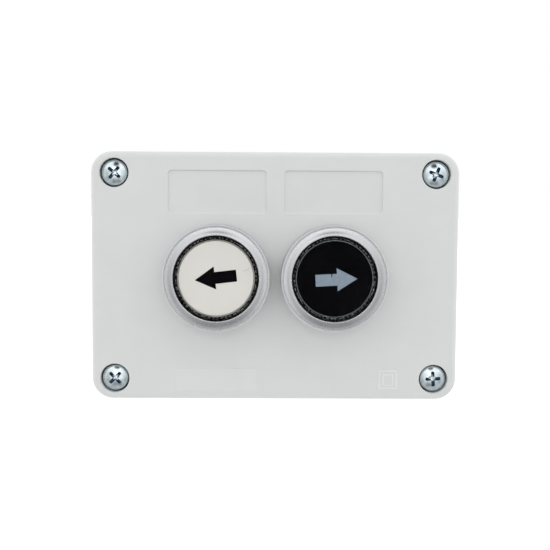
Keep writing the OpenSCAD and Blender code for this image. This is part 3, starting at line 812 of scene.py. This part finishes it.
class STATION_OT_bezels(StationOperator):
    """Turn the satin bezel rings, with their rims, grooves and lips"""

    bl_idname = "station.bezels"
    bl_label = "Bezels"

    # Millimetres: the gaps round the operator's flange and the cap, how far the rim lies below the lip, and
    # the groove's depth and its reach outwards and inwards from the rim's inner edge
    FLANGE_GAP, CAP_GAP, RIM_DROP = 0.05, 0.3, 0.4
    GROOVE_OUT, GROOVE_IN, GROOVE_DEPTH = 0.05, 0.2, 0.28
    # The knock on the left rim: its middle and half its width as shares of a turn, its depth, and how far
    # it reaches inwards and down
    KNOCK_AT, KNOCK_HALF = 246.1 / 360, 1.6 / 360
    KNOCK_DEPTH, KNOCK_IN, KNOCK_DOWN = 0.6, 0.75, 1.2

    def make(self, scene):
        settings = scene.station_bezel
        satin = satin_metal("satin_plating", settings.colour, settings.roughness)
        # Rougher plating for the rim and groove, with a lighter tint as a painted highlight
        dull = satin_metal("dull_plating_and_highlight", settings.rim_highlight_colour, settings.rim_roughness)
        for side in SIDES:
            name, node = f"{side}_bezel", f"{side}_bezel_ring"
            middle, outer = across(node)
            top = heights(node)[1]
            knock = self.knocked(outer, top) if side == "left" else None
            form = turned(middle, self.section(settings, side), settings.segments, knock)
            piece = new_piece(name, new_mesh(name, form, 50), satin, "housing", (node,))
            piece.data.materials.append(dull)
            self.dull_and_light_rim(piece.data, middle, outer - 2 * settings.rim_radius / MM - self.GROOVE_IN)

    def section(self, settings, side):
        """The ring's section: foot, rim, groove, dished cone and lip, then the bore and its step."""
        outer = across(f"{side}_bezel_ring")[1]
        foot, top = heights(f"{side}_bezel_ring")
        flange_r, flange_top = across(f"{side}_operator_body")[1], heights(f"{side}_operator_body")[1]
        rim, lip = settings.rim_radius / MM, settings.lip_radius / MM
        flange, opening = flange_r + self.FLANGE_GAP, across(f"{side}_lens_cap")[1] + self.CAP_GAP
        rim_top = top - self.RIM_DROP
        groove_out, groove_in = outer - 2 * rim + self.GROOVE_OUT, outer - 2 * rim - self.GROOVE_IN
        groove_floor = rim_top - self.GROOVE_DEPTH
        chamfer, ease = 0.15, 0.06
        step_in, step_low, step_high = opening + 0.8, flange_top + 0.6, rim_top - 1.5
        section = [(flange, foot), (outer - chamfer, foot), (outer, foot + chamfer)]
        section += arc((outer - rim, rim_top - rim), rim, 0, 150)
        section += [(groove_out, groove_floor), (groove_in, groove_floor)]
        section += arc((groove_in - ease, rim_top - ease), ease, 0, 80, 4)
        cone_end = (opening + 2.6 * lip + 0.2, top - 0.1)
        section += self.cone(section[-1], cone_end, settings.dish)
        section += arc((opening + lip, top - lip), lip, 70, 180)
        section += [(opening, step_low), (step_in, step_low), (step_in, step_high), (flange, step_high)]
        return section

    def dull_and_light_rim(self, mesh, middle, inner):
        """Gives the rim and its groove the second finish: rougher plating, with a lighter tint that is a
        painted highlight along the rim.
        """
        for face in mesh.polygons:
            if math.hypot(face.center.x / MM - middle[0], face.center.z / MM - middle[1]) > inner:
                face.material_index = 1

    def cone(self, start, end, dish, steps=12):
        """Points of a cone that gets steeper inwards, by dish on each side of its mean slope."""
        run = (start[0] - end[0]) / steps
        mean = math.atan2(end[1] - start[1], start[0] - end[0])
        climbs = [run * math.tan(mean + dish * (2 * (i + 0.5) / steps - 1)) for i in range(steps)]
        stretch = (end[1] - start[1]) / sum(climbs)
        return [(start[0] - run * (i + 1), start[1] + stretch * sum(climbs[:i + 1])) for i in range(steps)]

    def knocked(self, outer, top):
        """What sets back the rim where it was knocked."""
        def radius_at(radius, height, turn):
            on_rim = radius > outer - self.KNOCK_IN and height > top - self.KNOCK_DOWN
            if on_rim and abs(turn - self.KNOCK_AT) < self.KNOCK_HALF:
                return radius - self.KNOCK_DEPTH
            return radius

        return radius_at


class STATION_OT_lens_caps(StationOperator):
    """Mould the clear caps, with walls and short ribs under their skirts whose tints paint shade and glints
    """

    bl_idname = "station.lens_caps"
    bl_label = "Lens caps"

    # Millimetres: the cap's pocket stands this far off the insert, and its skirt ends this far over the
    # CAD cap's foot
    POCKET_GAP, SKIRT_CUT = 0.5, 0.3
    WALL_GAPS = {"left": 0.12, "right": 0.24}
    # A fine curved scratch on the left cap, from the cap's middle
    HAIRLINE, HAIRLINE_HALF = ((7.2, 1.95), (8.3, 2.3), (9.0, 2.75), (9.5, 3.15)), 0.05

    def make(self, scene):
        settings = scene.station_button
        clear = clear_plastic("clear_cap", (1, 1, 1), 0.02)
        # The ribs' near-white, nearly opaque tint is a painted glint: it stands for light glancing off the
        # clear skirt
        rib_glint_plastic = glint_and_shade_plastic("cap_ribs_painted_glint", (0.92, 0.94, 0.96), clarity=0.1)
        # Wall tints that paint light round the inserts: a brownish-grey shaded band round the white one, a
        # grey-blue glinting ring round the black one
        shade_and_glint_walls = {"left": glint_and_shade_plastic("white_cap_wall_painted_shade", (0.50, 0.475, 0.44)),
                      "right": glint_and_shade_plastic("black_cap_wall_painted_glint", (0.25, 0.28, 0.31))}
        for side in SIDES:
            node, button = f"{side}_lens_cap", f"{side}_button"
            middle, outer = across(node)
            low, top = heights(node)
            insert_r, ceiling = across(f"{side}_insert_disc")[1], heights(f"{side}_insert_disc")[1]
            pocket, skirt_end = insert_r + self.POCKET_GAP, low + self.SKIRT_CUT
            shell = self.shell(settings, outer, top, pocket, ceiling, skirt_end)
            mesh = new_mesh(f"{side}_cap", turned(middle, shell, 192))
            new_piece(f"{side}_cap", mesh, clear, button, (node,))
            wall = self.wall(insert_r + self.WALL_GAPS[side], pocket, ceiling, skirt_end)
            mesh = new_mesh(f"{side}_cap_wall", turned(middle, wall, 160))
            new_piece(f"{side}_cap_wall", mesh, shade_and_glint_walls[side], button)
            mesh = new_mesh(f"{side}_cap_ribs_painted_glint", self.ribs(middle, outer, low, skirt_end, settings.ribs, side))
            new_piece(f"{side}_cap_ribs_painted_glint", mesh, rib_glint_plastic, button)
            if side == "left":
                dull = printed_ink("scratched_plastic", (0.42, 0.40, 0.37))
                form = slab(self.hairline(middle), top - 0.02, top + 0.004)
                new_piece("left_cap_hairline", new_mesh("left_cap_hairline", form), dull, button)

    def shell(self, settings, outer, top, pocket, ceiling, skirt_end):
        """The cap's section: a flat top with a rounded edge, the skirt, and the pocket for the insert."""
        edge = settings.edge_radius / MM
        ease, chamfer_in, chamfer_out = 0.2, 0.15, 0.1
        section = [(0, top), (outer - edge - FLAT_RING, top)]
        section += arc((outer - edge, top - edge), edge, 90, 0)
        section += [(outer, skirt_end + chamfer_out), (outer - chamfer_out, skirt_end),
                    (pocket + chamfer_in, skirt_end), (pocket, skirt_end + chamfer_in)]
        section += [(pocket, ceiling - ease)] + arc((pocket - ease, ceiling - ease), ease, 0, 90, 5)
        section += [(pocket - ease - FLAT_RING, ceiling), (0, ceiling)]
        return section

    def wall(self, inner, pocket, ceiling, skirt_end):
        """Section of the wall between the insert and the pocket, whose tint paints a shaded band round the
        white insert and a glinting ring round the black one.
        """
        outer, top = pocket - 0.02, ceiling - 0.25
        return [(inner, skirt_end), (outer, skirt_end), (outer, top), (inner, top)]

    def hairline(self, middle):
        """Outline of the scratch, pointed at both ends."""
        path = self.HAIRLINE
        upper = [(middle[0] + x, middle[1] + y + self.HAIRLINE_HALF) for x, y in path]
        lower = [(middle[0] + x, middle[1] + y - self.HAIRLINE_HALF) for x, y in reversed(path[1:-1])]
        return upper + lower

    def ribs(self, middle, outer, low, high, count, side):
        """Short wedges of uneven length round the foot of the skirt, whose near-white tint paints the skirt's
        glints.
        """
        chance = random.Random(f"ribs {side}")
        steps, foot, draft = 4, low + 0.02, 0.08
        points, faces = [], []
        for i in range(count):
            start = (i + chance.uniform(0, 0.35)) / count
            span = chance.uniform(0.3, 0.9) / count
            inner = chance.uniform(outer - 0.62, outer - 0.4)
            depth = chance.uniform(0.05, 0.16)
            height = high - chance.uniform(0.02, 0.12)
            corners = ((inner, foot), (inner + depth + draft, foot), (inner + depth, height),
                       (inner + draft, height))
            base = len(points)
            for k in range(steps + 1):
                angle = 2 * math.pi * (start + span * k / steps)
                points += [polar(middle, r, angle, z) for r, z in corners]
            faces += between(steps + 1, 4, base)
            faces.append(tuple(range(base, base + 4)))
            faces.append(tuple(range(len(points) - 4, len(points))))
        return points, faces


class STATION_OT_inserts(StationOperator):
    """Mould the white and black inserts and print an arrow on each"""

    bl_idname = "station.inserts"
    bl_label = "Inserts"

    # Millimetres: the insert is this much wider than its CAD node, its face lies this far below the node's,
    # and its edge has this rounding
    GROWTH, DROP, EDGE = 0.08, 0.08, 0.15
    INK_ROOT, INK_RISE = 0.02, 0.035
    # The nick in the right arrow's upper side: back from the neck, and into the shaft
    NICK = ((1.25, 0), (1.35, 1.0), (1.55, 0.9), (1.6, 0))

    def make(self, scene):
        settings = scene.station_button
        white = moulded("insert_white", settings.white, roughness=0.4, wander=0.01)
        black = moulded("insert_black", settings.black, roughness=0.3, wander=0.1)
        dark, pale = printed_ink("dark_ink", settings.dark_ink), printed_ink("pale_ink", settings.pale_ink)
        for film in (white, black, dark, pale):
            film.node_tree.nodes["Principled BSDF"].inputs["Specular IOR Level"].default_value = 0.0
        self.insert("left", white, "insert_white")
        self.print_arrow(settings, "left", dark, -1, settings.left_turn, (-0.08, 0.15))
        self.insert("right", black, "insert_black")
        self.print_arrow(settings, "right", pale, 1, settings.right_turn, (0.48, -0.19), self.NICK)

    def insert(self, side, plastic, slot):
        name, node = f"{side}_insert", f"{side}_insert_disc"
        middle, outer = across(node)
        low, top = heights(node)
        outer, face, edge = outer + self.GROWTH, top - self.DROP, self.EDGE
        section = [(0, face), (outer - edge - FLAT_RING, face)]
        section += arc((outer - edge, face - edge), edge, 90, 0) + [(outer, low), (0, low)]
        mesh = new_mesh(name, turned(middle, section, 160))
        new_piece(name, mesh, plastic, f"{side}_button", (node,))

    def print_arrow(self, settings, side, ink, way, turn, shift, nick=()):
        """An arrow that points left (way -1) or right (way 1), turned, and shifted from the middle."""
        name, node = f"{side}_arrow", f"{side}_insert_disc"
        middle = across(node)[0]
        face = heights(node)[1] - self.DROP
        outline = self.arrow(settings, way, turn, (middle[0] + shift[0], middle[1] + shift[1]), nick)
        form = slab(outline, face - self.INK_ROOT, face + self.INK_RISE)
        new_piece(name, new_mesh(name, form), ink, f"{side}_button")

    def arrow(self, settings, way, turn, middle, nick):
        tip = settings.arrow_length / 2 / MM
        neck = tip - settings.head_length / MM
        head, shaft = settings.head_width / 2 / MM, settings.shaft_width / 2 / MM
        outline = [(tip, 0), (neck, head), (neck, shaft)]
        outline += [(neck - back, shaft - depth) for back, depth in nick]
        outline += [(-tip, shaft), (-tip, -shaft), (neck, -shaft), (neck, -head)]
        spin = Matrix.Rotation(turn, 2)
        return [tuple(Vector(middle) + spin @ Vector((way * x, y))) for x, y in outline]


class STATION_OT_operators(StationOperator):
    """Finish the parts of the two operators that work behind the caps"""

    bl_idname = "station.operators"
    bl_label = "Operators"

    def make(self, scene):
        black = moulded("operator_nylon", (0.018, 0.018, 0.02), roughness=0.5, wander=0.2, depth=0.006)
        nut = moulded("nut_nylon", (0.03, 0.03, 0.032), roughness=0.55, wander=0.2, depth=0.008)
        grey = moulded("adapter_nylon", (0.22, 0.23, 0.24), roughness=0.5, wander=0.05, depth=0.006)
        rubber = soft_rubber("operator_rubber", (0.025, 0.025, 0.025))
        for side in SIDES:
            give_finish(black, f"{side}_button_carrier", f"{side}_operator_body")
            give_finish(nut, f"{side}_ring_nut")
            give_finish(grey, f"{side}_contact_adapter")
            give_finish(rubber, f"{side}_stem_seal", f"{side}_panel_seal")


class STATION_OT_contact_blocks(StationOperator):
    """Finish the contact blocks and what they hold"""

    bl_idname = "station.contact_blocks"
    bl_label = "Contact blocks"

    def make(self, scene):
        shell = moulded("block_plastic", (0.03, 0.03, 0.033), wander=0.15, depth=0.006)
        green = moulded("plunger_plastic", (0.03, 0.25, 0.09), roughness=0.4, wander=0.05)
        brass = drawn_metal("contact_brass", (0.72, 0.53, 0.24))
        steel = plated_steel("terminal_steel", (0.66, 0.68, 0.7))
        for side in SIDES:
            give_finish(shell, f"{side}_contact_housing")
            give_finish(green, f"{side}_contact_plunger")
            give_finish(brass, f"{side}_fixed_contacts", f"{side}_contact_bridge")
            give_finish(steel, f"{side}_wire_clamps", f"{side}_terminal_screws")


class STATION_OT_springs(StationOperator):
    """Wind the springs on the housing and the plungers"""

    bl_idname = "station.springs"
    bl_label = "Springs"

    # Each spring's wire radius in millimetres, and its number of turns
    WINDINGS = {"return_spring": (0.45, 8), "plunger_spring": (0.25, 8), "contact_spring": (0.17, 5)}

    def make(self, scene):
        wire = drawn_metal("spring_wire", (0.6, 0.6, 0.61), 0.25)
        travel = reach("left_press")
        squeeze = travel - reach("left_bridge_slide")
        for side in SIDES:
            plunger = f"{side}_plunger"
            self.spring(side, "return_spring", wire, "housing", "press", travel)
            self.spring(side, "plunger_spring", wire, "housing", "plunger_slide", travel)
            self.spring(side, "contact_spring", wire, plunger, "bridge_slide", squeeze, at_front=True)

    def spring(self, side, kind, wire, body, joint, shortening, at_front=False):
        """One spring in its CAD node's place, on the body that carries it; at_front is not used."""
        node = f"{side}_{kind}"
        middle, outer = across(node)
        back, front = heights(node)
        length = front - back
        wire_r, turns = self.WINDINGS[kind]
        mesh = new_mesh(node, coiled(middle, back, length, outer - wire_r, wire_r, turns))
        piece = new_piece(f"{node}_coil", mesh, wire, body, (node,))
        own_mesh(piece)


class STATION_PT_sidebar(bpy.types.Panel):
    """The station's operators and settings, in the 3D view's sidebar"""

    bl_idname = "STATION_PT_sidebar"
    bl_label = "Control station"
    bl_space_type = "VIEW_3D"
    bl_region_type = "UI"
    bl_category = "Station"

    def draw(self, context):
        for operator in OPERATORS:
            self.layout.operator(operator.bl_idname)
        for name in SETTINGS:
            group = getattr(context.scene, name)
            box = self.layout.box()
            for prop in group.bl_rna.properties:
                if not prop.is_readonly:
                    box.prop(group, prop.identifier)


OPERATORS = (
    STATION_OT_stage,
    STATION_OT_housing,
    STATION_OT_relief,
    STATION_OT_cover_screws,
    STATION_OT_bezels,
    STATION_OT_lens_caps,
    STATION_OT_inserts,
    STATION_OT_operators,
    STATION_OT_contact_blocks,
    STATION_OT_springs,
)
SETTINGS = {
    "station_studio": StudioSettings,
    "station_housing": HousingSettings,
    "station_bezel": BezelSettings,
    "station_button": ButtonSettings,
}


def register():
    for group in SETTINGS.values():
        bpy.utils.register_class(group)
    for name, group in SETTINGS.items():
        setattr(bpy.types.Scene, name, PointerProperty(type=group))
    for operator in OPERATORS:
        bpy.utils.register_class(operator)
    bpy.utils.register_class(STATION_PT_sidebar)


def unregister():
    bpy.utils.unregister_class(STATION_PT_sidebar)
    for operator in reversed(OPERATORS):
        bpy.utils.unregister_class(operator)
    for name, group in SETTINGS.items():
        delattr(bpy.types.Scene, name)
        bpy.utils.unregister_class(group)


def main():
    register()
    for operator in OPERATORS:
        group, name = operator.bl_idname.split(".")
        getattr(getattr(bpy.ops, group), name)()


if __name__ == "__main__":
    main()
